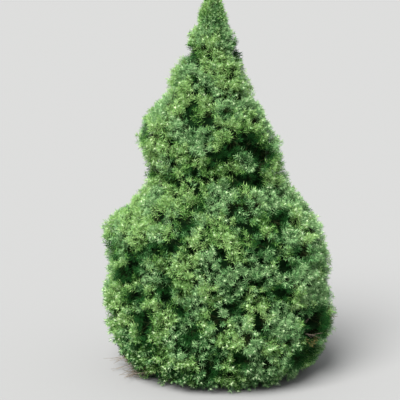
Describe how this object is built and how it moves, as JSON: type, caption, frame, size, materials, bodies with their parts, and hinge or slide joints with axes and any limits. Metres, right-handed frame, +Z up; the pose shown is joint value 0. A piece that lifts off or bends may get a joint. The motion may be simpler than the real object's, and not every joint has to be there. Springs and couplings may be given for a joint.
{
  "type": "dwarf spruce",
  "caption": "Dwarf Alberta spruce growing in the ground: a broad, dense cone of short green needles with pale tips on a hidden trunk.",
  "frame": {"origin": "centre of the flat cut under the trunk, at ground level", "axes": "+Z up along the trunk, +X to the right and +Y away from the viewer as pictured"},
  "size_m": [0.959, 0.9648, 1.545],
  "materials": {
    "bark": "rough, grey-brown, flaky",
    "foliage": "matt green needles, paler yellow-green at the tips"
  },
  "bodies": {
    "root": {"trunk": "bark", "bough_skirt_1": "bark", "foliage_skirt_1": "foliage", "bough_skirt_2": "bark", "foliage_skirt_2": "foliage", "bough_skirt_3": "bark", "foliage_skirt_3": "foliage", "bough_skirt_4": "bark", "foliage_skirt_4": "foliage", "bough_skirt_5": "bark", "foliage_skirt_5": "foliage", "bough_skirt_6": "bark", "foliage_skirt_6": "foliage", "bough_skirt_7": "bark", "foliage_skirt_7": "foliage", "bough_lower_1": "bark", "foliage_lower_1": "foliage", "bough_lower_2": "bark", "foliage_lower_2": "foliage", "bough_lower_3": "bark", "foliage_lower_3": "foliage", "bough_lower_4": "bark", "foliage_lower_4": "foliage", "bough_lower_5": "bark", "foliage_lower_5": "foliage", "bough_lower_6": "bark", "foliage_lower_6": "foliage", "bough_lower_7": "bark", "foliage_lower_7": "foliage", "foliage_belly_1": "foliage", "foliage_belly_2": "foliage", "foliage_belly_3": "foliage", "foliage_belly_4": "foliage", "foliage_belly_5": "foliage", "foliage_belly_6": "foliage", "foliage_belly_7": "foliage", "foliage_shoulder_1": "foliage", "foliage_shoulder_2": "foliage", "foliage_shoulder_3": "foliage", "foliage_shoulder_4": "foliage", "foliage_shoulder_5": "foliage", "foliage_shoulder_6": "foliage", "foliage_shoulder_7": "foliage", "foliage_waist_1": "foliage", "foliage_waist_2": "foliage", "foliage_waist_3": "foliage", "foliage_waist_4": "foliage", "foliage_waist_5": "foliage", "foliage_upper_1": "foliage", "foliage_upper_2": "foliage", "foliage_upper_3": "foliage", "foliage_upper_4": "foliage", "foliage_neck_1": "foliage", "foliage_neck_2": "foliage", "foliage_neck_3": "foliage", "foliage_crest_1": "foliage", "foliage_crest_2": "foliage", "foliage_crest_3": "foliage", "foliage_leader_1": "foliage", "foliage_leader_2": "foliage"}
  },
  "joints": []
}
